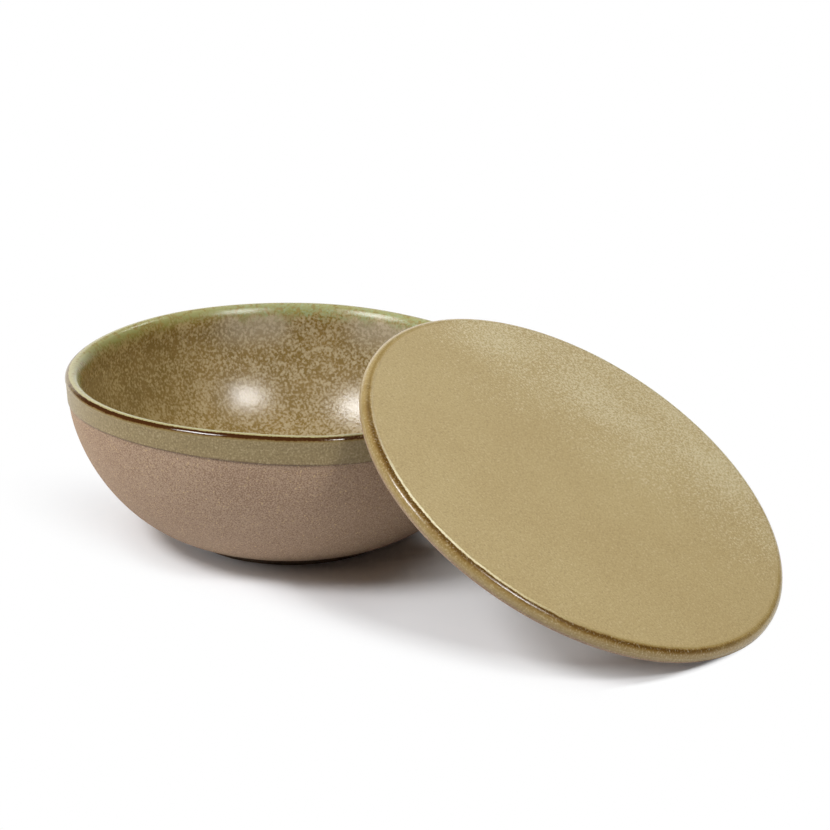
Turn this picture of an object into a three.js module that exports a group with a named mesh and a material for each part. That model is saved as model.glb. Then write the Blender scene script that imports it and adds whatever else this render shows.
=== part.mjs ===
import * as THREE from 'three';

// A stoneware bowl with a flat disc lid. The lid leans on the rim, with its lower edge on the floor.
// Millimetres, +Z up. The origin is the centre of the bowl's foot, and +X points towards the lid.

// Bowl: sizes of the finished, glazed piece
const RIM_DIAMETER = 190;
const BOWL_HEIGHT = 74.7;
const BAND_HEIGHT = 12;
const FOOT_DIAMETER = 90;
const FOOT_HEIGHT = 2.8;
const FOOT_EDGE = 0.6;

// Bowl: sizes of the clay
const WALL_AT_RIM = 6;
const WALL_AT_FOOT = 6;
const BASE_THICKNESS = 6;
const LIP_ROUND = 1.9;
const LIP_DROP = 2;
const LIP_OVERHANG = 0.3;
const LIP_CROWN = 0.4;
const INNER_LIP_ROUND = 2.3;
const INNER_LIP_LEAN = 37;
const LIP_EASE = 0.95;
const LIP_FALL = 0.5;
const BAND_TAPER = 0.3;
const BASE_SLOPE = 0.2;
const UPPER_FULLNESS = 0.36;
const LOWER_FULLNESS = 0.59;

// Glaze coat, a hair off the clay so that the two solids do not overlap
const GLAZE = 0.5;
const COAT_GAP = 0.01;

// Lid: a disc as wide as the rim
const LID_THICKNESS = 6.2;
const LID_BARE_EDGE = 1.6;
const LID_TOP_ROUND = 2.8;
const LID_BOTTOM_ROUND = 1.1;
const RING_PLAY = 1.2;
const RING_WIDTH = 5;
const RING_HEIGHT = 2;
const RING_EDGE = 0.5;

// Leaning pose
const LEAN = THREE.MathUtils.degToRad(30.8);
const CONTACT_GAP = 0.3;

// Smoothness
const TURN_STEPS = 60;
const ARC_STEPS = 3;
const WALL_STEPS = 9;
const LIP_STEPS = 5;
const BASE_STEPS = 3;

const point = (radius, height) => new THREE.Vector2(radius, height);

const CLAY_RIM_RADIUS = RIM_DIAMETER / 2 - GLAZE;
const FOOT_RADIUS = FOOT_DIAMETER / 2;
const LIP_CENTRE_HEIGHT = BOWL_HEIGHT - GLAZE - LIP_ROUND;
const OUTER_LIP_CENTRE = point(CLAY_RIM_RADIUS - LIP_ROUND, LIP_CENTRE_HEIGHT);
const INNER_LIP_CENTRE = point(
  OUTER_LIP_CENTRE.x - LIP_CROWN,
  BOWL_HEIGHT - GLAZE - INNER_LIP_ROUND,
);
const WALL_TOP = point(CLAY_RIM_RADIUS - LIP_OVERHANG, LIP_CENTRE_HEIGHT - LIP_DROP);
const BAND_END = point(WALL_TOP.x - BAND_TAPER, BOWL_HEIGHT - BAND_HEIGHT);
const BAND_SLOPE = WALL_TOP.clone().sub(BAND_END).normalize();
const BELLY_START = point(FOOT_RADIUS, FOOT_HEIGHT);

// Points of an arc about a centre, between two angles counted from the outward radius.
function arc(centre, radius, fromDegrees, toDegrees) {
  const points = [];
  for (let step = 0; step <= ARC_STEPS; step += 1) {
    const angle = THREE.MathUtils.degToRad(
      THREE.MathUtils.lerp(fromDegrees, toDegrees, step / ARC_STEPS),
    );
    points.push(point(centre.x + radius * Math.cos(angle), centre.y + radius * Math.sin(angle)));
  }
  return points;
}

// Outside of the clay from the foot up to the end of the glazed band, in line with the band above it.
const belly = (() => {
  const upperPull = UPPER_FULLNESS * (BAND_END.y - FOOT_HEIGHT);
  const lowerPull = LOWER_FULLNESS * (BAND_END.x - FOOT_RADIUS);
  return new THREE.CubicBezierCurve(
    BELLY_START,
    BELLY_START.clone().add(point(lowerPull, lowerPull * BASE_SLOPE)),
    BAND_END.clone().addScaledVector(BAND_SLOPE, -upperPull),
    BAND_END,
  );
})();

// Inside of the bowl, from the middle of the base up to the height of the band's lower edge,
// below or above a coat of glaze.
function insideLine(coat) {
  const wall = [];
  for (let step = 0; step <= WALL_STEPS; step += 1) {
    const along = step / WALL_STEPS;
    const tangent = belly.getTangent(along);
    const inward = point(-tangent.y, tangent.x);
    const thickness = THREE.MathUtils.lerp(WALL_AT_FOOT, WALL_AT_RIM, along) + coat;
    wall.push(belly.getPoint(along).addScaledVector(inward, thickness));
  }
  const edge = wall[0];
  const middle = point(0, BASE_THICKNESS + coat);
  const levelRadius = edge.x - (edge.y - middle.y) / BASE_SLOPE;
  const base = new THREE.QuadraticBezierCurve(middle, point(levelRadius, middle.y), edge);
  return [...base.getPoints(BASE_STEPS).slice(0, -1), ...wall];
}

// The inner lip flares outwards from the upright wall and then rounds over to the crown.
function innerLip(start, coat) {
  const round = arc(INNER_LIP_CENTRE, INNER_LIP_ROUND + coat, 180 - INNER_LIP_LEAN, 90);
  const lean = THREE.MathUtils.degToRad(INNER_LIP_LEAN);
  const flare = point(Math.sin(lean), Math.cos(lean));
  const reach = (round[0].x - start.x) / flare.x;
  const curve = new THREE.CubicBezierCurve(
    start,
    start.clone().addScaledVector(BAND_SLOPE, LIP_FALL * (round[0].y - start.y)),
    round[0].clone().addScaledVector(flare, -LIP_EASE * reach),
    round[0],
  );
  return [...curve.getPoints(LIP_STEPS).slice(1, -1), ...round];
}

// The surface below or above a coat of glaze: inside, over the lip and down the outer band.
function glazedLine(coat) {
  const inside = insideLine(coat);
  return [
    ...inside,
    ...innerLip(inside.at(-1), coat),
    ...arc(OUTER_LIP_CENTRE, LIP_ROUND + coat, 90, 0),
    point(WALL_TOP.x + coat, WALL_TOP.y),
    point(BAND_END.x + coat, BAND_END.y),
  ];
}

function bowlBodyProfile() {
  return [
    point(0, 0),
    point(FOOT_RADIUS - FOOT_EDGE, 0),
    point(FOOT_RADIUS, FOOT_EDGE),
    ...belly.getPoints(WALL_STEPS).slice(0, -1),
    ...glazedLine(0).reverse(),
  ];
}

function bowlGlazeProfile() {
  return [...glazedLine(COAT_GAP), ...glazedLine(GLAZE).reverse()];
}

const LID_CLAY_TOP = LID_THICKNESS - GLAZE;
const LID_TOP_CENTRE = point(CLAY_RIM_RADIUS - LID_TOP_ROUND, LID_CLAY_TOP - LID_TOP_ROUND);
const LID_BOTTOM_CENTRE = point(CLAY_RIM_RADIUS - LID_BOTTOM_ROUND, LID_BOTTOM_ROUND);
const RING_OUTER = WALL_TOP.x - WALL_AT_RIM - GLAZE - RING_PLAY;
const RING_INNER = RING_OUTER - RING_WIDTH;

// Side and top of the lid, below or above a coat of glaze. Height 0 is the underside.
function lidGlazedLine(coat) {
  return [
    point(CLAY_RIM_RADIUS + coat, LID_BARE_EDGE),
    ...arc(LID_TOP_CENTRE, LID_TOP_ROUND + coat, 0, 90),
    point(0, LID_CLAY_TOP + coat),
  ];
}

// The underside carries a low ring that drops inside the rim when the bowl is closed.
function lidBodyProfile() {
  return [
    point(0, 0),
    point(RING_INNER, 0),
    point(RING_INNER, RING_EDGE - RING_HEIGHT),
    point(RING_INNER + RING_EDGE, -RING_HEIGHT),
    point(RING_OUTER - RING_EDGE, -RING_HEIGHT),
    point(RING_OUTER, RING_EDGE - RING_HEIGHT),
    point(RING_OUTER, 0),
    ...arc(LID_BOTTOM_CENTRE, LID_BOTTOM_ROUND, -90, 0),
    ...lidGlazedLine(0),
  ];
}

function lidGlazeProfile() {
  return [...lidGlazedLine(COAT_GAP).reverse(), ...lidGlazedLine(GLAZE)];
}

// Centre of the lid's underside. The underside clears the rounded lip by the contact gap,
// and the lower edge is on the floor.
function leaningPosition() {
  const sine = Math.sin(LEAN);
  const cosine = Math.cos(LEAN);
  const lowestBelowCentre = LID_BOTTOM_CENTRE.x * sine - LID_BOTTOM_CENTRE.y * cosine + LID_BOTTOM_ROUND;
  const lipToUnderside = LIP_ROUND + GLAZE + CONTACT_GAP;
  const drop = (lowestBelowCentre - OUTER_LIP_CENTRE.y) * cosine;
  const along = OUTER_LIP_CENTRE.x + (lipToUnderside - drop) / sine;
  return new THREE.Vector3(along, 0, lowestBelowCentre);
}

function turned(name, profile, material) {
  const geometry = new THREE.LatheGeometry(profile, TURN_STEPS);
  geometry.rotateX(Math.PI / 2);
  const mesh = new THREE.Mesh(geometry, new THREE.MeshStandardMaterial(material));
  mesh.name = name;
  return mesh;
}

const bowl = new THREE.Group();
bowl.add(turned('bowl_body', bowlBodyProfile(), { color: '#937d65', roughness: 0.9, metalness: 0 }));
bowl.add(turned('bowl_glaze', bowlGlazeProfile(), { color: '#85744a', roughness: 0.35, metalness: 0 }));

const lid = new THREE.Group();
lid.add(turned('lid_body', lidBodyProfile(), { color: '#8f7961', roughness: 0.9, metalness: 0 }));
lid.add(turned('lid_glaze', lidGlazeProfile(), { color: '#b39d75', roughness: 0.5, metalness: 0 }));
lid.rotation.y = LEAN;
lid.position.copy(leaningPosition());

const group = new THREE.Group();
group.name = 'lidded_bowl';
group.add(bowl, lid);

export default group;
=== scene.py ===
# A stoneware bowl with a loose disc lid that leans on its rim. Metres, +Z up.
# The clay and the glaze coats are turned from the solids' own outlines, finely enough to look round.
import math

import bmesh
import bpy
from mathutils import Color, Matrix, Vector
from mathutils.geometry import interpolate_bezier


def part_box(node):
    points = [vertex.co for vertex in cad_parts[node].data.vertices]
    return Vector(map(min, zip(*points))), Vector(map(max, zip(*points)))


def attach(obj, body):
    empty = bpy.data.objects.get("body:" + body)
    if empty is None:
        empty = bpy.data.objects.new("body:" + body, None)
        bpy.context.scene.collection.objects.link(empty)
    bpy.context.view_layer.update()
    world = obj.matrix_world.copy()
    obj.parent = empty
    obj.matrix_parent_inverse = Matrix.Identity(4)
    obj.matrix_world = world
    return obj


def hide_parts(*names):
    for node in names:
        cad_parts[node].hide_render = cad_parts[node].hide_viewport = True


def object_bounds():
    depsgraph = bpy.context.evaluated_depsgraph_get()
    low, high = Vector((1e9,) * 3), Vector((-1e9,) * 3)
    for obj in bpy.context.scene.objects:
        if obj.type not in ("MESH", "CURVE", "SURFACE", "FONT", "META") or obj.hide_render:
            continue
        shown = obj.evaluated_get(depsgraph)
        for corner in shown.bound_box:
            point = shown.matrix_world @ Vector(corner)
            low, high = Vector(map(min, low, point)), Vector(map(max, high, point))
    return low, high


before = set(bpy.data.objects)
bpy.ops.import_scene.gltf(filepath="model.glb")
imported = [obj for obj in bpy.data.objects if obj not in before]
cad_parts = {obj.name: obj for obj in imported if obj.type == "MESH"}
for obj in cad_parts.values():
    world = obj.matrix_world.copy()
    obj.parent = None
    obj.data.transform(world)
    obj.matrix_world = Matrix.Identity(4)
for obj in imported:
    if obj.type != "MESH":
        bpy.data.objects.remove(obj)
solids_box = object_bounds()

MM = 0.001
METRE = 1.0

# Sizes read off the solids
_, BOWL_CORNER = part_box("bowl_glaze")
RIM_RADIUS = BOWL_CORNER.y
BOWL_HEIGHT = BOWL_CORNER.z

# Bowl
BAND_HEIGHT = 12 * MM
FOOT_RADIUS = 45 * MM
FOOT_HEIGHT = 2.8 * MM
FOOT_EDGE = 0.6 * MM
WALL_AT_RIM = 6 * MM
WALL_AT_FOOT = 6 * MM
BASE_THICKNESS = 6 * MM
LIP_ROUND = 1.9 * MM
LIP_DROP = 2 * MM
LIP_OVERHANG = 0.3 * MM
LIP_CROWN = 0.4 * MM
INNER_LIP_ROUND = 2.3 * MM
INNER_LIP_LEAN = math.radians(37)
LIP_EASE = 0.95
LIP_FALL = 0.5
BAND_TAPER = 0.3 * MM
BASE_SLOPE = 0.2
UPPER_FULLNESS = 0.36
LOWER_FULLNESS = 0.59
GLAZE = 0.5 * MM

# Lid
LID_THICKNESS = 6.2 * MM
LID_BARE_EDGE = 1.6 * MM
LID_TOP_ROUND = 2.8 * MM
LID_BOTTOM_ROUND = 1.1 * MM
RING_PLAY = 1.2 * MM
RING_WIDTH = 5 * MM
RING_HEIGHT = 2 * MM
RING_EDGE = 0.5 * MM
LEAN = math.radians(30.8)
CONTACT_GAP = 0.3 * MM

# Smoothness
TURN_STEPS = 192
ARC_STEPS = 8
WALL_STEPS = 40
LIP_STEPS = 16
BASE_STEPS = 12
FLAT_STEP = 4 * MM
WELD = 1e-6

# The dipped glaze ends on the wall in a slow wave: crests round the bowl, height, place of one crest
DIP_CRESTS = 3
DIP_HEIGHT = 1.0 * MM
DIP_CREST_AT = math.radians(-95)

# The rim is not quite level. Wide dips and one rise: place in degrees, depth in mm, half width in degrees
RIM_SAGS = ((-140, 1.9, 70), (-75, 0.45, 60), (-38, 1.4, 32), (75, 1.5, 45), (150, -0.25, 60))
# How far a dip spreads outwards for its depth, and how fast it fades down the wall
SAG_SPREAD = 0.2
SAG_FADE = 6

# Camera, fitted to the photograph's outlines
IMAGE_SIDE = 830
FOCAL_PIXELS = 2436.4
CAMERA_AZIMUTH = 32.87
CAMERA_ELEVATION = 18.53
CAMERA_ROLL = math.radians(0.776)
CAMERA_DISTANCE = 1.045
CAMERA_TARGET = Vector((44.8, 28.95, 52.0)) * MM


def towards(azimuth, elevation):
    """Unit direction from the object to a camera or lamp; azimuth 0 looks along +Y."""
    turn = math.radians(azimuth)
    rise = math.radians(elevation)
    level = math.cos(rise)
    return Vector((math.sin(turn) * level, -math.cos(turn) * level, math.sin(rise)))


# Outlines: points of radius and height

# Directions from the centre of an arc, in degrees from the outward radius
OUTWARD = 0
UPWARD = 90
INWARD = 180
DOWNWARD = -90


def arc(centre, radius, start, end):
    """Points of an arc from one direction to another."""
    points = []
    for step in range(ARC_STEPS + 1):
        angle = math.radians(start + (end - start) * step / ARC_STEPS)
        points.append(centre + radius * Vector((math.cos(angle), math.sin(angle))))
    return points


def finely(points):
    """The same outline with straight stretches cut into short ones."""
    fine = [points[0]]
    for start, end in zip(points, points[1:]):
        pieces = max(1, math.ceil((end - start).length / FLAT_STEP))
        fine += [start.lerp(end, piece / pieces) for piece in range(1, pieces + 1)]
    return fine


CLAY_RIM_RADIUS = RIM_RADIUS - GLAZE
LIP_CENTRE_HEIGHT = BOWL_HEIGHT - GLAZE - LIP_ROUND
OUTER_LIP_CENTRE = Vector((CLAY_RIM_RADIUS - LIP_ROUND, LIP_CENTRE_HEIGHT))
INNER_LIP_CENTRE = Vector((OUTER_LIP_CENTRE.x - LIP_CROWN, BOWL_HEIGHT - GLAZE - INNER_LIP_ROUND))
WALL_TOP = Vector((CLAY_RIM_RADIUS - LIP_OVERHANG, LIP_CENTRE_HEIGHT - LIP_DROP))
BAND_END = Vector((WALL_TOP.x - BAND_TAPER, BOWL_HEIGHT - BAND_HEIGHT))
BELLY_START = Vector((FOOT_RADIUS, FOOT_HEIGHT))
BAND_SLOPE = (WALL_TOP - BAND_END).normalized()


def belly_line():
    """Outside of the clay from the foot up to the glazed band, in line with the band above it."""
    lower_pull = LOWER_FULLNESS * (BAND_END.x - FOOT_RADIUS)
    upper_pull = UPPER_FULLNESS * (BAND_END.y - FOOT_HEIGHT)
    lower_handle = BELLY_START + Vector((lower_pull, lower_pull * BASE_SLOPE))
    upper_handle = BAND_END - BAND_SLOPE * upper_pull
    return interpolate_bezier(BELLY_START, lower_handle, upper_handle, BAND_END, WALL_STEPS + 1)


BELLY = belly_line()


def inside_line(coat):
    """Inside of the bowl, from the middle of the base up to the lip, below or above a coat of glaze."""
    wall = []
    for step, place in enumerate(BELLY):
        before = BELLY[max(step - 1, 0)]
        after = BELLY[min(step + 1, WALL_STEPS)]
        along = (after - before).normalized()
        inward = Vector((-along.y, along.x))
        share = step / WALL_STEPS
        thickness = WALL_AT_FOOT + (WALL_AT_RIM - WALL_AT_FOOT) * share + coat
        wall.append(place + inward * thickness)
    edge = wall[0]
    middle = Vector((0, BASE_THICKNESS + coat))
    level = Vector((edge.x - (edge.y - middle.y) / BASE_SLOPE, middle.y))
    base = []
    for step in range(BASE_STEPS):
        share = step / BASE_STEPS
        base.append(middle.lerp(level, share).lerp(level.lerp(edge, share), share))
    return [*base, *wall]


def glazed_line(coat):
    """Below or above a coat of glaze: inside, up the flared inner lip, over the crown, to the band."""
    inside = inside_line(coat)
    start = inside[-1]
    lip_start = INWARD - math.degrees(INNER_LIP_LEAN)
    inner_lip = arc(INNER_LIP_CENTRE, INNER_LIP_ROUND + coat, lip_start, UPWARD)
    flare_end = inner_lip[0]
    flare = Vector((math.sin(INNER_LIP_LEAN), math.cos(INNER_LIP_LEAN)))
    reach = (flare_end.x - start.x) / flare.x
    lower_handle = start + BAND_SLOPE * (flare_end.y - start.y) * LIP_FALL
    upper_handle = flare_end - flare * reach * LIP_EASE
    flared = interpolate_bezier(start, lower_handle, upper_handle, flare_end, LIP_STEPS + 1)
    outer_lip = arc(OUTER_LIP_CENTRE, LIP_ROUND + coat, UPWARD, OUTWARD)
    return [*inside, *flared[1:-1], *inner_lip, *outer_lip, WALL_TOP + Vector((coat, 0))]


def bowl_clay_outline():
    """From the middle of the foot round the outside, over the lip and back to the middle inside."""
    foot = [Vector((0, 0)), Vector((FOOT_RADIUS - FOOT_EDGE, 0)), Vector((FOOT_RADIUS, FOOT_EDGE))]
    return finely([*foot, *BELLY, *reversed(glazed_line(0))])


def bowl_glaze_outline():
    """Round the coat: over its free face from the base to the band, then back along its hidden face."""
    bead = arc(BAND_END + Vector((0, GLAZE)), GLAZE, OUTWARD, DOWNWARD)
    return finely([*glazed_line(GLAZE), *bead, *reversed(glazed_line(0))])


LID_CLAY_TOP = LID_THICKNESS - GLAZE
LID_TOP_CENTRE = Vector((CLAY_RIM_RADIUS - LID_TOP_ROUND, LID_CLAY_TOP - LID_TOP_ROUND))
LID_BOTTOM_CENTRE = Vector((CLAY_RIM_RADIUS - LID_BOTTOM_ROUND, LID_BOTTOM_ROUND))
RING_OUTER = WALL_TOP.x - WALL_AT_RIM - GLAZE - RING_PLAY
RING_INNER = RING_OUTER - RING_WIDTH
LID_BARE_LINE = Vector((CLAY_RIM_RADIUS, LID_BARE_EDGE))


def lid_clay_outline():
    """From the middle of the underside over its ring, round the edge and back to the middle on top."""
    ring = [
        Vector((RING_INNER, 0)),
        Vector((RING_INNER, RING_EDGE - RING_HEIGHT)),
        Vector((RING_INNER + RING_EDGE, -RING_HEIGHT)),
        Vector((RING_OUTER - RING_EDGE, -RING_HEIGHT)),
        Vector((RING_OUTER, RING_EDGE - RING_HEIGHT)),
        Vector((RING_OUTER, 0)),
    ]
    bottom = arc(LID_BOTTOM_CENTRE, LID_BOTTOM_ROUND, DOWNWARD, OUTWARD)
    top = arc(LID_TOP_CENTRE, LID_TOP_ROUND, OUTWARD, UPWARD)
    return finely([Vector((0, 0)), *ring, *bottom, *top, Vector((0, LID_CLAY_TOP))])


def lid_glaze_outline():
    """Round the coat: over its free face from the middle to the bare edge, then back underneath."""
    free = arc(LID_TOP_CENTRE, LID_TOP_ROUND + GLAZE, UPWARD, OUTWARD)
    bead = arc(LID_BARE_LINE + Vector((0, GLAZE)), GLAZE, OUTWARD, DOWNWARD)
    hidden = arc(LID_TOP_CENTRE, LID_TOP_ROUND, OUTWARD, UPWARD)
    return finely([Vector((0, LID_THICKNESS)), *free, *bead, *hidden, Vector((0, LID_CLAY_TOP))])


# Turned pieces

def turned(outline, label="", distances=()):
    """A closed shape spun from an outline round the upright axis. Where a label is given, every point
    carries its distance along the outline, for finishes that follow the surface."""
    shape = bmesh.new()
    layer = shape.verts.layers.float.new(label) if label else None
    line = [shape.verts.new((point.x, 0, point.y)) for point in outline]
    for vert, distance in zip(line, distances):
        vert[layer] = distance
    edges = [shape.edges.new(pair) for pair in zip(line, line[1:])]
    bmesh.ops.spin(
        shape, geom=[*line, *edges], cent=(0, 0, 0), axis=(0, 0, 1), dvec=(0, 0, 0),
        angle=math.tau, steps=TURN_STEPS, use_merge=True, use_duplicate=False,
    )
    bmesh.ops.remove_doubles(shape, verts=shape.verts, dist=WELD)
    bmesh.ops.recalc_face_normals(shape, faces=shape.faces)
    return shape


def nearest(outline, place):
    """Number of the outline's point that is nearest a place."""
    return min(range(len(outline)), key=lambda index: (outline[index] - place).length_squared)


def distances_from(outline, place):
    """Distance of each point along an outline, in millimetres, counted from the point nearest a place."""
    lengths = [0.0]
    for start, end in zip(outline, outline[1:]):
        lengths.append(lengths[-1] + (end - start).length / MM)
    zero = lengths[nearest(outline, place)]
    return [length - zero for length in lengths]


def piece_from(shape, name, finish, body, node):
    """A smooth finished piece that rides on a body in place of a solid."""
    for face in shape.faces:
        face.smooth = True
    mesh = bpy.data.meshes.new(name)
    shape.to_mesh(mesh)
    shape.free()
    mesh.materials.append(finish)
    piece = bpy.data.objects.new(name, mesh)
    bpy.context.scene.collection.objects.link(piece)
    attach(piece, body)
    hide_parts(node)


def wave_dipped_edge(shape, label, start, end):
    """Slides the coat's outer band along the wall, so that its lower edge runs in a slow wave."""
    layer = shape.verts.layers.float[label]
    for vert in shape.verts:
        below_lip = end - abs(vert[layer] - end)
        share = (below_lip - start) / (end - start)
        if share <= 0:
            continue
        turn = math.atan2(vert.co.y, vert.co.x)
        rise = DIP_HEIGHT * math.cos(DIP_CRESTS * (turn - DIP_CREST_AT)) * share
        outward = Vector((math.cos(turn), math.sin(turn), 0))
        vert.co += outward * BAND_SLOPE.x * rise + Vector((0, 0, BAND_SLOPE.y * rise))


def sag_rim(shape):
    """Lets the rim sag a little in wide dips and spread there, as thrown clay does."""
    for vert in shape.verts:
        turn = math.atan2(vert.co.y, vert.co.x)
        spread = Vector((math.cos(turn), math.sin(turn), 0)) * SAG_SPREAD
        for place, depth, half_width in RIM_SAGS:
            aside = (turn - math.radians(place) + math.pi) % math.tau - math.pi
            away = abs(aside) / math.radians(half_width)
            if away >= 1:
                continue
            fade = (vert.co.z / BOWL_HEIGHT) ** SAG_FADE
            drop = depth * MM * (1 + math.cos(math.pi * away)) / 2 * fade
            vert.co += (spread - Vector((0, 0, 1))) * drop


def lean(shape):
    """Tips the lid and moves it against the rim, with its lower edge on the floor."""
    sine = math.sin(LEAN)
    cosine = math.cos(LEAN)
    lowest = LID_BOTTOM_CENTRE.x * sine - LID_BOTTOM_CENTRE.y * cosine + LID_BOTTOM_ROUND
    lip_to_underside = LIP_ROUND + GLAZE + CONTACT_GAP
    drop = (lowest - OUTER_LIP_CENTRE.y) * cosine
    along = OUTER_LIP_CENTRE.x + (lip_to_underside - drop) / sine
    bmesh.ops.rotate(shape, verts=shape.verts, cent=(0, 0, 0), matrix=Matrix.Rotation(LEAN, 3, "Y"))
    bmesh.ops.translate(shape, verts=shape.verts, vec=(along, 0, lowest))


# Finishes

# Sockets of a Mix node that mixes colours
MIX_AMOUNT = 0
MIX_FIRST = 6
MIX_SECOND = 7
MIX_RESULT = 2
# Middle of a pattern that goes from 0 to 1
MIDDLE = 0.5
FULL_BYTE = 255


def paint(code):
    """Linear colour of a hex code as seen on a screen."""
    channels = [channel / FULL_BYTE for channel in bytes.fromhex(code.lstrip("#"))]
    return (*Color(channels).from_srgb_to_scene_linear(), 1.0)


class Bench:
    """A cleared node tree and short ways to lay down nodes in it."""

    def __init__(self, tree):
        self.tree = tree
        self.tree.nodes.clear()

    def add(self, kind, inputs=None, **settings):
        node = self.tree.nodes.new(kind)
        for name, value in settings.items():
            setattr(node, name, value)
        for socket, value in (inputs or {}).items():
            self.feed(node.inputs[socket], value)
        return node

    def feed(self, socket, value):
        if isinstance(value, bpy.types.NodeSocket):
            self.tree.links.new(value, socket)
        else:
            socket.default_value = value

    def sum(self, first, second, factor=1.0):
        """first + second * factor"""
        inputs = {0: second, 1: factor, 2: first}
        return self.add("ShaderNodeMath", inputs, operation="MULTIPLY_ADD").outputs[0]

    def product(self, first, second):
        return self.add("ShaderNodeMath", {0: first, 1: second}, operation="MULTIPLY").outputs[0]

    def larger(self, first, second):
        return self.add("ShaderNodeMath", {0: first, 1: second}, operation="MAXIMUM").outputs[0]

    def step(self, value, low, high, to_low=0.0, to_high=1.0):
        """Smooth change from to_low to to_high as value goes from low to high."""
        inputs = {"Value": value, "From Min": low, "From Max": high, "To Min": to_low, "To Max": to_high}
        node = self.add("ShaderNodeMapRange", inputs, interpolation_type="SMOOTHSTEP")
        return node.outputs["Result"]

    def reach(self, place, direction):
        """How far a place lies towards a direction."""
        inputs = {0: place, 1: direction}
        return self.add("ShaderNodeVectorMath", inputs, operation="DOT_PRODUCT").outputs["Value"]


class Finish(Bench):
    """A material with one shader, and short ways to lay down its patterns."""

    def __init__(self, name):
        self.material = bpy.data.materials.new(name)
        self.material.use_nodes = True
        super().__init__(self.material.node_tree)
        self.shader = self.add("ShaderNodeBsdfPrincipled")
        self.output = self.add("ShaderNodeOutputMaterial", {"Surface": self.shader.outputs["BSDF"]})
        self.place = self.add("ShaderNodeTexCoord").outputs["Object"]

    def distance(self, label):
        return self.add("ShaderNodeAttribute", attribute_name=label).outputs["Fac"]

    def noise(self, size, detail=2.0, rough=0.5, place=None):
        """A cloudy pattern from 0 to 1 whose blobs are about as wide as size."""
        inputs = {"Vector": place or self.place, "Scale": 1 / size, "Detail": detail, "Roughness": rough}
        return self.add("ShaderNodeTexNoise", inputs).outputs["Fac"]

    def centred(self, pattern):
        """A pattern from 0 to 1, moved so that it lies about 0."""
        return self.sum(pattern, -MIDDLE)

    def dots(self, size):
        """Distance from scattered points about as far apart as size, 0 at each point."""
        inputs = {"Vector": self.place, "Scale": 1 / size}
        return self.add("ShaderNodeTexVoronoi", inputs).outputs["Distance"]

    def stretched(self, scale):
        return self.add("ShaderNodeMapping", {"Vector": self.place, "Scale": scale}).outputs["Vector"]

    def side(self, direction):
        """How far a point lies towards a direction, in metres."""
        return self.reach(self.place, direction)

    def oval(self, centre, reach):
        """Distance from a centre, counted along each axis in its own reach."""
        away = self.add("ShaderNodeVectorMath", {0: self.place, 1: centre}, operation="SUBTRACT")
        inputs = {0: away.outputs["Vector"], 1: reach}
        share = self.add("ShaderNodeVectorMath", inputs, operation="DIVIDE")
        inputs = {0: share.outputs["Vector"]}
        return self.add("ShaderNodeVectorMath", inputs, operation="LENGTH").outputs["Value"]

    def mix(self, amount, first, second):
        inputs = {MIX_AMOUNT: amount, MIX_FIRST: first, MIX_SECOND: second}
        return self.add("ShaderNodeMix", inputs, data_type="RGBA").outputs[MIX_RESULT]

    def zones(self, value, stops):
        """Colours along a distance: stops of millimetres and hex codes, in order."""
        low = stops[0][0]
        high = stops[-1][0]
        inputs = {"Value": value, "From Min": low, "From Max": high}
        share = self.add("ShaderNodeMapRange", inputs).outputs["Result"]
        node = self.add("ShaderNodeValToRGB", {"Fac": share})
        ramp = node.color_ramp.elements
        while len(ramp) < len(stops):
            ramp.new(1.0)
        for element, (at, code) in zip(ramp, stops):
            element.position = (at - low) / (high - low)
            element.color = paint(code)
        return node.outputs["Color"]

    def grained(self, colour, grain, reach, cover, light, dark):
        """A colour with light grains above the grain's middle and dark ones below it."""
        lighter = self.mix(self.step(grain, 0.0, reach, 0.0, cover), colour, paint(light))
        return self.mix(self.step(grain, 0.0, -reach, 0.0, cover), lighter, paint(dark))

    def finish(self, colour, roughness, height, depth):
        """Joins colour, roughness and a bump of the given depth in metres to the shader."""
        self.feed(self.shader.inputs["Base Color"], colour)
        self.feed(self.shader.inputs["Roughness"], roughness)
        bump = self.add("ShaderNodeBump", {"Height": height, "Distance": depth})
        self.feed(self.shader.inputs["Normal"], bump.outputs["Normal"])
        return self.material


# In the finishes below, a span says where a change begins and ends, and then its two values there,
# where they are not 0 and 1. Spans past the lip or the lid's edge are in millimetres, others on the
# object in metres. A share says how much one pattern counts in another.

# Bare clay: pale and deep tones
BOWL_CLAY_TONES = ("#b1987f", "#8a6f58")
LID_CLAY_TONES = ("#ab937c", "#8d735b")
CLAY_TONE_SPAN = (0.88, 1.28)
CLAY_CLOUD = 40 * MM
CLAY_CLOUD_SHARE = 0.2
# Throwing lines, close together up the wall: the pattern's repeats per metre
LINE_STRETCH = (15, 15, 420)
LINE_SHARE = 0.1
LINE_HEIGHT_SHARE = 0.15
CLAY_GRAIN = 0.6 * MM
CLAY_GRAIN_SHARE = 1.8
# Specks of pale sand and dark iron
CLAY_SPECK = 0.8 * MM
SAND_STRETCH = (1.2, 0.9, 1.1)
SAND_SPAN = (0.63, 0.72)
SAND_COVER = 0.6
SAND_HEIGHT_SHARE = 0.3
SAND = "#d4b886"
IRON_STRETCH = (0.9, 1.1, 1.0)
IRON_SPAN = (0.64, 0.72, 0.0, 0.3)
IRON = "#5d4735"
# Painted shade: the clay is darker next to the floor, where the foot stands in its contact shadow
PAINTED_FOOT_SHADE_SPAN = (5.5 * MM, 3.0 * MM, 0.0, 0.75)
PAINTED_FOOT_SHADE_WANDER = 1.5 * MM
PAINTED_FOOT_SHADE = "#4b3826"
CLAY_ROUGHNESS_SPAN = (0.3, 0.7, 0.75, 0.9)
CLAY_BUMP = 0.2 * MM


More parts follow.
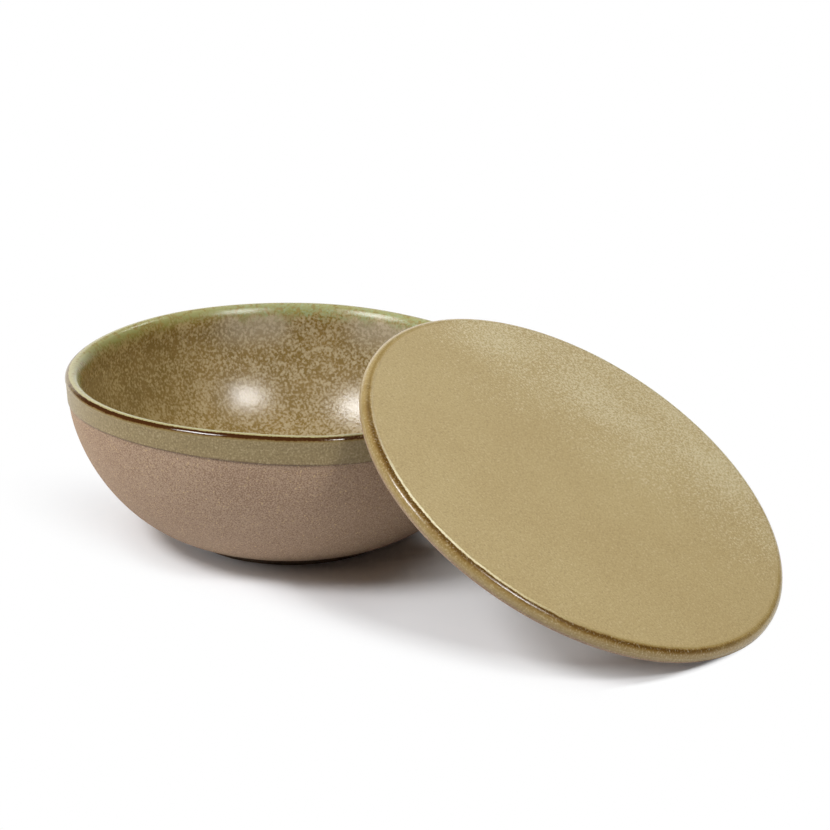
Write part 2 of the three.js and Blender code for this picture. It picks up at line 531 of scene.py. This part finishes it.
def bare_clay(name, pale, deep):
    """Fired clay: slow warm clouds, a matt sandy grain, light and dark specks, and painted shade next to
    the floor.
    """
    clay = Finish(name)
    clouds = clay.noise(CLAY_CLOUD, detail=3)
    lines = clay.noise(METRE, place=clay.stretched(LINE_STRETCH))
    grain = clay.noise(CLAY_GRAIN, detail=3, rough=0.75)
    slow_tone = clay.sum(clay.product(clouds, CLAY_CLOUD_SHARE), lines, LINE_SHARE)
    tone = clay.sum(slow_tone, grain, CLAY_GRAIN_SHARE)
    body = clay.mix(clay.step(tone, *CLAY_TONE_SPAN), paint(deep), paint(pale))
    sand_specks = clay.noise(CLAY_SPECK, detail=1, place=clay.stretched(SAND_STRETCH))
    sand = clay.step(sand_specks, *SAND_SPAN)
    sanded = clay.mix(clay.product(sand, SAND_COVER), body, paint(SAND))
    iron_specks = clay.noise(CLAY_SPECK, detail=1, place=clay.stretched(IRON_STRETCH))
    specked = clay.mix(clay.step(iron_specks, *IRON_SPAN), sanded, paint(IRON))
    above_floor = clay.add("ShaderNodeSeparateXYZ", {"Vector": clay.place}).outputs["Z"]
    # Painted shade: darker towards the floor, round the foot
    low = clay.step(clay.sum(above_floor, grain, PAINTED_FOOT_SHADE_WANDER), *PAINTED_FOOT_SHADE_SPAN)
    colour = clay.mix(low, specked, paint(PAINTED_FOOT_SHADE))
    roughness = clay.step(grain, *CLAY_ROUGHNESS_SPAN)
    height = clay.sum(clay.sum(grain, lines, LINE_HEIGHT_SHARE), sand, SAND_HEIGHT_SHARE)
    return clay.finish(colour, roughness, height, CLAY_BUMP)


# Bowl's glaze: directions in which its pale flecks gather, its painted reflection lies and its green turns
# cooler
FLECK_SIDE = (0.84, 0.54, 0.0)
PAINTED_HAZE_SIDE = (-0.54, 0.84, 0.0)
COOL_SIDE = (0.1, 0.99, 0.0)

# Its patterns, from wide to small
BOWL_BROAD = 30 * MM
BOWL_SLOW = 9 * MM
BOWL_FINE = 1.1 * MM
BOWL_TINY = 0.8 * MM
BOWL_RAGGED_SHARE = 0.7

# Colours by millimetres past the lip's crown, and at the dipped edge by millimetres past that edge
LIP_ZONES = (
    (-16.0, "#857740"), (-10.0, "#877d3d"), (-6.5, "#8b8546"), (-4.5, "#949256"), (-2.5, "#a3a16a"),
    (-0.8, "#b3ad7c"), (0.75, "#afa672"), (0.95, "#5c3a18"), (1.15, "#41230a"), (2.5, "#43250b"),
    (2.75, "#6c5029"), (3.1, "#86744b"), (10.0, "#88764d"),
)
DIPPED_EDGE_ZONES = ((-1.2, "#85724a"), (-0.6, "#654e32"), (0.0, "#4c3722"))
LIP_WANDER = 0.6

# Mottled greens below the lip: teal on the cool side, and spots of rust
GREEN_SPAN = (0.4, -1.2)
COOL_SPAN = (20 * MM, 75 * MM, 0.0, 0.6)
TEAL_SLOW_SHARE = 0.5
TEAL_SPAN = (0.42, 0.66)
TEAL = "#a3b38f"
RUST_SPOT = 2.2 * MM
RUST_STRETCH = (1.1, 0.9, 1.0)
RUST_SPAN = (0.5, 0.64, 0.0, 0.65)
RUST = "#937a40"

# The brown of the outer edge is worn in grains at the right. At the far left it turns lighter all over, a
# painted reflection of the white room
WORN_AND_REFLECTION_SPAN = (0.6, 1.0)
WORN_RIGHT_SPAN = (0.0, 45 * MM, 0.0, 0.6)
WORN_GRAIN_SPAN = (0.5, 0.62)
LEFT_END_REFLECTION_SPAN = (-80 * MM, -96 * MM, 0.0, 0.8)
LEFT_END_REFLECTION_WANDER = 20 * MM
WORN_AND_REFLECTED = "#8c7a50"

# Inside: cloudy brown
INSIDE_SPAN = (-3.5, -10.0)
INSIDE_WANDER = 12.0
BROWN_CLOUD = 14 * MM
CLOUD_SPAN = (0.3, 0.7)
DEEP_BROWN = "#816830"
PALE_BROWN = "#8c723c"

# Pale flecks in clumps, denser to the right. Lower down they are denser too, but fainter
FLECK_SPOT = 1.15 * MM
FLECK_STRETCH = (0.95, 1.05, 0.9)
FLECK_DEPTH_SPAN = (-30, -85, 0.0, 0.06)
FLECK_RIGHT_SPAN = (-80 * MM, -15 * MM)
FLECK_RIGHT_SHARE = 0.03
FLECK_BROAD_SHARE = 0.2
FLECK_CLUSTER = 5 * MM
CLUSTER_FINE_SHARE = 1.4
FLECK_CLUMP_SHARE = 0.35
FLECK_DOT = 1.7 * MM
DOT_MIDDLE = 0.45
FLECK_DOT_SHARE = -0.28
FLECK_SPAN = (0.36, 0.72)
FLECK_FADE_SPAN = (-15, -45, 1.0, 0.7)
LEFT_FLECK = "#b9a36e"
RIGHT_FLECK = "#bdac88"

# Painted reflection: two pale patches high on the far wall, one at the left and one at the right, stand in
# for the lamps' haze on the glaze
PAINTED_HAZE_WALL_SPAN = (30 * MM, 50 * MM)
LEFT_HAZE_SPAN = (-45 * MM, -27 * MM)
LEFT_HAZE_END_SPAN = (0.0, -13 * MM)
RIGHT_HAZE_SPAN = (15 * MM, 30 * MM)
HAZE_TOP_SPAN = (-5, -8)
HAZE_FADE_SPAN = (-26, -11, 0.0, 0.45)
PAINTED_HAZE = "#cdc4b2"

# Band below the lip: light and dark grains
BAND_SPAN = (3.0, 4.0)
GRAIN_FINE_SHARE = 0.5
BAND_GRAIN_REACH = 0.25
BAND_GRAIN_COVER = 0.5
BAND_LIGHT = "#b3a27c"
BAND_DARK = "#63502f"

# Gloss: shiny lip, satin inside with a soft sheen, duller band; small pits inside
LIP_ROUGHNESS_SPAN = (-1.5, -3.5, 0.09, 0.27)
WALL_ROUGHNESS_SPAN = (-10, -20, 0.0, -0.06)
BAND_ROUGHNESS_SPAN = (2.9, 4.0, 0.0, 0.3)
FLECK_ROUGHNESS_SHARE = 0.05
SHEEN_ROUGHNESS = 0.5
SHEEN_SPAN = (-7, -14, 0.0, 0.7)
SHEEN_FADE_SPAN = (-35, -65, 1.0, 0.2)
WALL_PIT_SPAN = (-1.5, -4.0, 0.22, 0.7)
BASE_PIT_SPAN = (-40, -65, 0.0, 0.7)
TINY_HEIGHT_SHARE = 0.12
BOWL_BUMP = 0.08 * MM


def bowl_glaze(end):
    """Glaze of the bowl by distance past the lip's crown: flecked inside, mottled green below the lip,
    pale on the crown, brown where it breaks over the outer edge, khaki on the band."""
    glaze = Finish("bowl_glaze")
    past_lip = glaze.distance("past_lip")
    across = glaze.side(FLECK_SIDE)
    slow = glaze.noise(BOWL_SLOW)
    fine = glaze.noise(BOWL_FINE, detail=3, rough=0.6)
    tiny = glaze.noise(BOWL_TINY)
    broad_drift = glaze.centred(glaze.noise(BOWL_BROAD))
    slow_drift = glaze.centred(slow)
    fine_drift = glaze.centred(fine)
    ragged = glaze.sum(slow_drift, fine_drift, BOWL_RAGGED_SHARE)

    lip_wander = glaze.sum(glaze.sum(past_lip, slow_drift, LIP_WANDER), fine_drift)
    edge_zones = [(end + past_edge, code) for past_edge, code in DIPPED_EDGE_ZONES]
    zones = glaze.zones(lip_wander, [*LIP_ZONES, *edge_zones])
    cool = glaze.step(glaze.side(COOL_SIDE), *COOL_SPAN)
    teal = glaze.step(glaze.sum(fine, slow_drift, TEAL_SLOW_SHARE), *TEAL_SPAN)
    greens = glaze.mix(glaze.product(teal, cool), zones, paint(TEAL))
    rust_spots = glaze.noise(RUST_SPOT, detail=3, place=glaze.stretched(RUST_STRETCH))
    mixed_greens = glaze.mix(glaze.step(rust_spots, *RUST_SPAN), greens, paint(RUST))
    worn_right = glaze.product(glaze.step(across, *WORN_RIGHT_SPAN), glaze.step(fine, *WORN_GRAIN_SPAN))
    # Painted reflection: the edge's brown turns pale all over at the far left
    painted_reflection_left = glaze.step(glaze.sum(across, ragged, LEFT_END_REFLECTION_WANDER), *LEFT_END_REFLECTION_SPAN)
    worn_and_reflection = glaze.product(glaze.sum(worn_right, painted_reflection_left), glaze.step(past_lip, *WORN_AND_REFLECTION_SPAN))
    worn_and_reflecting_lip = glaze.mix(worn_and_reflection, zones, paint(WORN_AND_REFLECTED))
    lip = glaze.mix(glaze.step(past_lip, *GREEN_SPAN), worn_and_reflecting_lip, mixed_greens)

    cloudy = glaze.step(glaze.noise(BROWN_CLOUD, detail=3), *CLOUD_SPAN)
    brown = glaze.mix(cloudy, paint(DEEP_BROWN), paint(PALE_BROWN))
    right = glaze.step(across, *FLECK_RIGHT_SPAN)
    gathered = glaze.sum(glaze.step(past_lip, *FLECK_DEPTH_SPAN), right, FLECK_RIGHT_SHARE)
    density = glaze.sum(gathered, broad_drift, FLECK_BROAD_SHARE)
    spots = glaze.noise(FLECK_SPOT, place=glaze.stretched(FLECK_STRETCH))
    cluster = glaze.centred(glaze.noise(FLECK_CLUSTER))
    clumps = glaze.sum(cluster, fine_drift, CLUSTER_FINE_SHARE)
    dots = glaze.sum(glaze.dots(FLECK_DOT), -DOT_MIDDLE)
    clumped_spots = glaze.sum(glaze.sum(spots, density), clumps, FLECK_CLUMP_SHARE)
    fleck = glaze.sum(clumped_spots, dots, FLECK_DOT_SHARE)
    flecks = glaze.product(glaze.step(fleck, *FLECK_SPAN), glaze.step(past_lip, *FLECK_FADE_SPAN))
    flecked = glaze.mix(flecks, brown, glaze.mix(right, paint(LEFT_FLECK), paint(RIGHT_FLECK)))

    # Painted reflection: pale patches of the lamps' haze high on the far wall
    left_haze = glaze.product(
        glaze.step(across, *LEFT_HAZE_SPAN), glaze.step(across, *LEFT_HAZE_END_SPAN))
    both_hazes = glaze.sum(left_haze, glaze.step(across, *RIGHT_HAZE_SPAN))
    painted_hazes = glaze.product(both_hazes, glaze.step(glaze.side(PAINTED_HAZE_SIDE), *PAINTED_HAZE_WALL_SPAN))
    haze_depth = glaze.product(
        glaze.step(past_lip, *HAZE_TOP_SPAN), glaze.step(past_lip, *HAZE_FADE_SPAN))
    mottled = glaze.mix(glaze.product(painted_hazes, haze_depth), flecked, paint(PAINTED_HAZE))

    grain = glaze.sum(glaze.centred(tiny), fine_drift, GRAIN_FINE_SHARE)
    band = glaze.grained(lip, grain, BAND_GRAIN_REACH, BAND_GRAIN_COVER, BAND_LIGHT, BAND_DARK)
    rim = glaze.mix(glaze.step(past_lip, *BAND_SPAN), lip, band)
    inside_wander = glaze.sum(glaze.sum(past_lip, ragged, INSIDE_WANDER), broad_drift, INSIDE_WANDER)
    inside = glaze.step(inside_wander, *INSIDE_SPAN)
    colour = glaze.mix(inside, rim, mottled)

    lip_gloss = glaze.step(past_lip, *LIP_ROUGHNESS_SPAN)
    inner_gloss = glaze.sum(lip_gloss, glaze.step(past_lip, *WALL_ROUGHNESS_SPAN))
    gloss = glaze.sum(inner_gloss, glaze.step(past_lip, *BAND_ROUGHNESS_SPAN))
    roughness = glaze.sum(gloss, glaze.product(flecks, inside), FLECK_ROUGHNESS_SHARE)
    glaze.shader.inputs["Coat Roughness"].default_value = SHEEN_ROUGHNESS
    sheen = glaze.product(glaze.step(past_lip, *SHEEN_SPAN), glaze.step(past_lip, *SHEEN_FADE_SPAN))
    glaze.feed(glaze.shader.inputs["Coat Weight"], sheen)
    pitted = glaze.sum(glaze.step(past_lip, *WALL_PIT_SPAN), glaze.step(past_lip, *BASE_PIT_SPAN))
    height = glaze.sum(glaze.sum(slow, glaze.product(fine, pitted)), tiny, TINY_HEIGHT_SHARE)
    return glaze.finish(colour, roughness, height, BOWL_BUMP)


# Lid's glaze: directions in which its pale specks gather and the brown of its edge is strongest
SPECK_SIDE = (0.1, 0.8, 0.55)
BROWN_SIDE = (0.3, -0.95, 0.0)

# Its patterns, from wide to small
LID_CLOUD = 45 * MM
LID_DRIFT = 22 * MM
LID_SLOW = 10 * MM
LID_FINE = 0.9 * MM
LID_TINY = 0.75 * MM

# Top: cloudy khaki with pale specks
DEEP_KHAKI = "#b29c6b"
PALE_KHAKI = "#b7a271"
SPECK_SIDE_SPAN = (30 * MM, 98 * MM, 0.0, 0.22)
SPECK_DRIFT_SHARE = 0.2
SPECK_SPAN = (0.62, 0.84, 0.0, 0.7)
SPECK = "#d8cda9"

# Colours by millimetres past the edge of the flat top, where the edge is brown and where it stays khaki
BROWN_ZONES = (
    (-1.4, "#b29c6b"), (-0.2, "#ac9662"), (0.5, "#957b46"), (0.9, "#755726"), (1.25, "#583c13"),
    (1.9, "#62451a"), (2.5, "#7d602f"), (3.1, "#8f7646"), (4.3, "#968052"), (6.0, "#968056"),
)
KHAKI_ZONES = (
    (-1.4, "#b29c6b"), (0.1, "#aa935e"), (0.7, "#9d844e"), (1.3, "#9d8450"), (2.0, "#ad9766"),
    (4.3, "#a89261"), (6.0, "#988258"),
)
GLAZE_END = "#7f6a49"
EDGE_SPAN = (-1.4, -0.6)
EDGE_WANDER = 1.2
BROWN_SPAN = (50 * MM, 110 * MM)
KHAKI_SPAN = (0.0, 45 * MM)
BROWN_WANDER = 50 * MM

# Painted highlight: a pale line along the brown edge's arris stands in for a lamp's glint; its two sides,
# and where it comes in and fades out along the lean
ARRIS_INNER_SPAN = (-0.6, -0.1)
ARRIS_OUTER_SPAN = (0.9, 0.6)
GLINT_START_SPAN = (95 * MM, 118 * MM)
GLINT_FADE_SPAN = (200 * MM, 150 * MM)
PAINTED_ARRIS_GLINT = "#e2d6aa"

# Light and dark grains all over
LID_GRAIN_REACH = 0.3
LID_GRAIN_COVER = 0.32
LID_LIGHT = "#dccda4"
LID_DARK = "#6b5429"

# Gloss: satin top, shinier rounded edge, matt towards the bare clay
LID_SPECULAR = 0.42
EDGE_ROUGHNESS_SPAN = (-1.5, 0.4, 0.48, 0.2)
END_ROUGHNESS_SPAN = (4.4, 5.4, 0.0, 0.35)
FINE_HEIGHT_SHARE = 0.2
LID_BUMP = 0.05 * MM

# Direction in which the lid slopes down
ALONG_LEAN = (1, 0, 0)


def lid_glaze(end):
    """Glaze of the lid by distance past the edge of its flat top: khaki, brown over the rounded edge."""
    glaze = Finish("lid_glaze")
    glaze.shader.inputs["Specular IOR Level"].default_value = LID_SPECULAR
    past_edge = glaze.distance("past_edge")
    slow = glaze.noise(LID_SLOW)
    fine = glaze.noise(LID_FINE, detail=3, rough=0.6)
    tiny = glaze.noise(LID_TINY)
    fine_drift = glaze.centred(fine)
    ragged = glaze.sum(glaze.centred(slow), fine_drift)

    cloudy = glaze.step(glaze.noise(LID_CLOUD, detail=3), *CLOUD_SPAN)
    top = glaze.mix(cloudy, paint(DEEP_KHAKI), paint(PALE_KHAKI))
    drift = glaze.centred(glaze.noise(LID_DRIFT, detail=4))
    gathered = glaze.sum(fine, glaze.step(glaze.side(SPECK_SIDE), *SPECK_SIDE_SPAN))
    specks = glaze.step(glaze.sum(gathered, drift, SPECK_DRIFT_SHARE), *SPECK_SPAN)
    speckled = glaze.mix(specks, top, paint(SPECK))

    edge_wander = glaze.sum(past_edge, ragged, EDGE_WANDER)
    brown_zones = glaze.zones(edge_wander, [*BROWN_ZONES, (end, GLAZE_END)])
    khaki_zones = glaze.zones(edge_wander, [*KHAKI_ZONES, (end, GLAZE_END)])
    near = glaze.sum(glaze.side(BROWN_SIDE), ragged, BROWN_WANDER)
    browned = glaze.step(near, *BROWN_SPAN)
    far_zones = glaze.mix(glaze.step(near, *KHAKI_SPAN), speckled, khaki_zones)
    edge_zones = glaze.mix(browned, far_zones, brown_zones)
    # Painted highlight: a pale glint line along the arris
    arris = glaze.product(
        glaze.step(edge_wander, *ARRIS_INNER_SPAN), glaze.step(edge_wander, *ARRIS_OUTER_SPAN))
    along = glaze.side(ALONG_LEAN)
    glint_stretch = glaze.product(glaze.step(along, *GLINT_START_SPAN), glaze.step(along, *GLINT_FADE_SPAN))
    arris_glint = glaze.product(glaze.product(arris, glint_stretch), browned)
    edge = glaze.mix(arris_glint, edge_zones, paint(PAINTED_ARRIS_GLINT))
    plain = glaze.mix(glaze.step(edge_wander, *EDGE_SPAN), speckled, edge)
    grain = glaze.sum(glaze.centred(tiny), fine_drift, GRAIN_FINE_SHARE)
    colour = glaze.grained(plain, grain, LID_GRAIN_REACH, LID_GRAIN_COVER, LID_LIGHT, LID_DARK)

    edge_gloss = glaze.step(past_edge, *EDGE_ROUGHNESS_SPAN)
    roughness = glaze.sum(edge_gloss, glaze.step(past_edge, *END_ROUGHNESS_SPAN))
    height = glaze.sum(glaze.sum(slow, fine, FINE_HEIGHT_SHARE), tiny, TINY_HEIGHT_SHARE)
    return glaze.finish(colour, roughness, height, LID_BUMP)


# The bowl and its lid

def make_bowl():
    clay = bare_clay("bowl_clay", *BOWL_CLAY_TONES)
    body = turned(bowl_clay_outline())
    sag_rim(body)
    piece_from(body, "bowl_clay_body", clay, "bowl", "bowl_body")
    outline = bowl_glaze_outline()
    crown = Vector((OUTER_LIP_CENTRE.x, BOWL_HEIGHT))
    distances = distances_from(outline, crown)
    band_top = distances[nearest(outline, WALL_TOP + Vector((GLAZE, 0)))]
    band_end = distances[nearest(outline, BAND_END)]
    coat = turned(outline, "past_lip", distances)
    wave_dipped_edge(coat, "past_lip", band_top, band_end)
    sag_rim(coat)
    finish = bowl_glaze(band_end)
    piece_from(coat, "bowl_glaze_coat", finish, "bowl", "bowl_glaze")


def make_lid():
    clay = bare_clay("lid_clay", *LID_CLAY_TONES)
    body = turned(lid_clay_outline())
    lean(body)
    piece_from(body, "lid_clay_body", clay, "lid", "lid_body")
    outline = lid_glaze_outline()
    flat_edge = Vector((LID_TOP_CENTRE.x, LID_THICKNESS))
    distances = distances_from(outline, flat_edge)
    coat = turned(outline, "past_edge", distances)
    lean(coat)
    finish = lid_glaze(distances[nearest(outline, LID_BARE_LINE)])
    piece_from(coat, "lid_glaze_coat", finish, "lid", "lid_glaze")


# Studio

WHITE = (1, 1, 1, 1)
WHITE_STRENGTH = 1.0

# Room: strength of its fill light, and the side of the backdrop
FILL_STRENGTH = 0.05
BACKDROP_SIDE = (-0.543, 0.84, 0.0)
# Where the backdrop and the horizon end, by height and by how far round they reach
BACKDROP_TOP_SPAN = (0.5, 0.36)
BACKDROP_WIDTH_SPAN = (0.7, 0.88)
HORIZON_TOP_SPAN = (0.16, 0.06)
HORIZON_WIDTH_SPAN = (0.5, 0.8)

# Floor, a hair below the foot
FLOOR_SIDE = 3.0
FLOOR_SINK = 0.05 * MM
FLOOR_PALE = (0.9, 0.91, 0.94, 1)
FLOOR_ROUGHNESS = 1.0
FLOOR_SPECULAR = 0.0
# Its shadows show in a long oval along the object and in a circle round the foot, and fade past them
FLOOR_CENTRE = Vector((91, -21, 0)) * MM
FLOOR_REACH = (3.48, 1, 1)
SHADOW_SPAN = (31 * MM, 70.5 * MM)
FOOT_CENTRE = (0, 0, 0)
ROUND_REACH = (1, 1, 1)
FOOT_SHADE_SPAN = (49 * MM, 80 * MM)
# At the lid's low end the shadow stops just inside the edge of the lid's print on the floor
LID_PRINT = (RIM_RADIUS * math.cos(LEAN), RIM_RADIUS, 1)
LID_PRINT_CENTRE = (solids_box[1][0] - LID_PRINT[0], 0, 0)
LID_PRINT_SPAN = (0.925, 0.99)
LOW_END_SPAN = (170 * MM, 200 * MM)
# Under the lid the shadow is painted a little lighter with the floor's white
PAINTED_LIFT_SPAN = (60 * MM, 100 * MM, 0.0, 0.2)
PAINTED_LIFT_END_SPAN = (200 * MM, 160 * MM)

# Lamps: azimuth and elevation in degrees, width and height in metres, watts, and whether they show in gloss
LAMP_DISTANCE = 1.6
LAMPS = {
    "top_softbox": (0, 88, 1.6, 1.6, 5.0, False),
    "left_softbox": (-24, 47, 0.50, 0.36, 14.6, True),
    "left_side": (-75, 9, 1.2, 0.4, 15.0, False),
    "right_softbox": (68, 47, 0.36, 0.38, 10.9, True),
    "back_softbox": (167, 50.5, 0.45, 0.30, 2.4, True),
}


def seen_directly(bench, in_gloss=1.0):
    """1 for rays from the camera, as much as in_gloss says for gloss and glass, 0 for the fill light."""
    path = bench.add("ShaderNodeLightPath").outputs
    mirrored = bench.larger(path["Is Glossy Ray"], path["Is Transmission Ray"])
    return bench.larger(path["Is Camera Ray"], bench.product(mirrored, in_gloss))


def make_room():
    """White all round where the camera looks. Reflections show a white horizon, a white backdrop behind
    the object that ends below the lamps, and a dim room above."""
    world = bpy.data.worlds.new("white_room")
    world.use_nodes = True
    bench = Bench(world.node_tree)
    direction = bench.add("ShaderNodeTexCoord").outputs["Generated"]
    height = bench.add("ShaderNodeSeparateXYZ", {"Vector": direction}).outputs["Z"]
    behind = bench.reach(direction, BACKDROP_SIDE)
    backdrop = bench.product(
        bench.step(height, *BACKDROP_TOP_SPAN), bench.step(behind, *BACKDROP_WIDTH_SPAN))
    horizon = bench.product(bench.step(height, *HORIZON_TOP_SPAN), bench.step(behind, *HORIZON_WIDTH_SPAN))
    amount = seen_directly(bench, bench.larger(backdrop, horizon))
    fill = bench.add("ShaderNodeBackground", {"Color": WHITE, "Strength": FILL_STRENGTH})
    white = bench.add("ShaderNodeBackground", {"Color": WHITE, "Strength": WHITE_STRENGTH})
    inputs = {"Fac": amount, 1: fill.outputs["Background"], 2: white.outputs["Background"]}
    mix = bench.add("ShaderNodeMixShader", inputs)
    bench.add("ShaderNodeOutputWorld", {"Surface": mix.outputs["Shader"]})
    bpy.context.scene.world = world


def floor_finish():
    """Pale and matt where the shadows are, white to the camera elsewhere."""
    finish = Finish("floor_white")
    finish.shader.inputs["Base Color"].default_value = FLOOR_PALE
    finish.shader.inputs["Roughness"].default_value = FLOOR_ROUGHNESS
    finish.shader.inputs["Specular IOR Level"].default_value = FLOOR_SPECULAR
    past_shadow = finish.step(finish.oval(FLOOR_CENTRE, FLOOR_REACH), *SHADOW_SPAN)
    past_foot = finish.step(finish.oval(FOOT_CENTRE, ROUND_REACH), *FOOT_SHADE_SPAN)
    along = finish.side(ALONG_LEAN)
    # Painted light: the floor's shadow under the lid is lifted towards white
    painted_lift = finish.product(finish.step(along, *PAINTED_LIFT_SPAN), finish.step(along, *PAINTED_LIFT_END_SPAN))
    past_print = finish.step(finish.oval(LID_PRINT_CENTRE, LID_PRINT), *LID_PRINT_SPAN)
    past_lid = finish.product(past_print, finish.step(along, *LOW_END_SPAN))
    lit = finish.larger(finish.larger(finish.product(past_shadow, past_foot), painted_lift), past_lid)
    amount = finish.product(lit, seen_directly(finish))
    white = finish.add("ShaderNodeEmission", {"Color": WHITE, "Strength": WHITE_STRENGTH})
    inputs = {"Fac": amount, 1: finish.shader.outputs["BSDF"], 2: white.outputs["Emission"]}
    mix = finish.add("ShaderNodeMixShader", inputs)
    finish.feed(finish.output.inputs["Surface"], mix.outputs["Shader"])
    return finish.material


def make_floor():
    """A pale floor that keeps the shadows near the object and runs out to white round it."""
    shape = bmesh.new()
    bmesh.ops.create_grid(shape, x_segments=1, y_segments=1, size=FLOOR_SIDE / 2)
    bmesh.ops.translate(shape, verts=shape.verts, vec=(FLOOR_CENTRE.x, 0, -FLOOR_SINK))
    mesh = bpy.data.meshes.new("floor")
    shape.to_mesh(mesh)
    shape.free()
    mesh.materials.append(floor_finish())
    floor = bpy.data.objects.new("floor", mesh)
    bpy.context.scene.collection.objects.link(floor)


def make_lamp(name, azimuth, elevation, width, height, watts, in_gloss):
    """A soft rectangular lamp that faces the object."""
    lamp = bpy.data.lights.new(name, "AREA")
    lamp.shape = "RECTANGLE"
    lamp.size = width
    lamp.size_y = height
    lamp.energy = watts
    holder = bpy.data.objects.new(name, lamp)
    direction = towards(azimuth, elevation)
    holder.location = CAMERA_TARGET + direction * LAMP_DISTANCE
    holder.rotation_euler = direction.to_track_quat("Z", "Y").to_euler()
    holder.visible_glossy = in_gloss
    bpy.context.scene.collection.objects.link(holder)


def make_camera():
    """The camera at the photograph's viewing angle."""
    camera = bpy.data.cameras.new("camera")
    camera.sensor_fit = "HORIZONTAL"
    camera.lens = FOCAL_PIXELS / IMAGE_SIDE * camera.sensor_width
    holder = bpy.data.objects.new("camera", camera)
    direction = towards(CAMERA_AZIMUTH, CAMERA_ELEVATION)
    upright = direction.to_track_quat("Z", "Y").to_matrix().to_4x4()
    roll = Matrix.Rotation(CAMERA_ROLL, 4, "Z")
    place = Matrix.Translation(CAMERA_TARGET + direction * CAMERA_DISTANCE)
    holder.matrix_world = place @ upright @ roll
    bpy.context.scene.collection.objects.link(holder)
    bpy.context.scene.camera = holder


make_bowl()
make_lid()
make_room()
make_floor()
for lamp_name, lamp_settings in LAMPS.items():
    make_lamp(lamp_name, *lamp_settings)
make_camera()
bpy.context.scene.view_settings.view_transform = "Standard"
